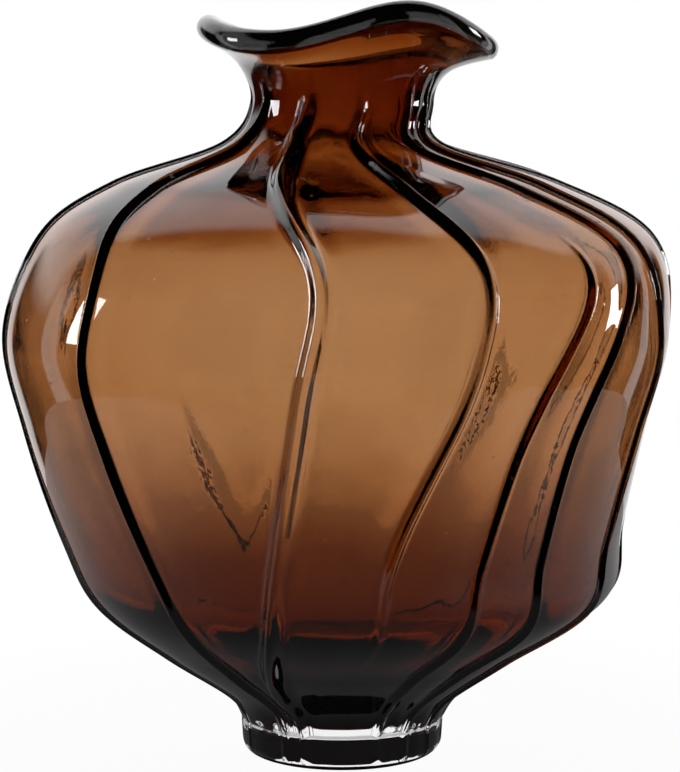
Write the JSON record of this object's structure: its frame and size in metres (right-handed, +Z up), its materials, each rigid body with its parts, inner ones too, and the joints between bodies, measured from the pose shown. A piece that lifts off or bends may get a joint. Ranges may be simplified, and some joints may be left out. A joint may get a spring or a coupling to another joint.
{
  "type": "glass vase",
  "caption": "Round-bellied blown glass vase with a brown lining in a clear casing, wandering raised ribs, a narrow neck, a waved flaring lip and a solid clear foot; holds cut flowers in water.",
  "frame": {"origin": "centre of the flat base of the foot", "axes": "+Z up along the vase's axis, -Y towards the front that the picture shows, +X to the right"},
  "size_m": [0.193, 0.1948, 0.2201],
  "materials": {
    "clear_glass": "colourless blown glass, fire-polished and glossy, ground flat under the foot",
    "brown_glass": "transparent amber-brown glass, glossy, darker where it is thicker at the neck and the floor"
  },
  "bodies": {
    "root": {"clear_casing": "clear_glass", "brown_lining": "brown_glass"}
  },
  "joints": []
}
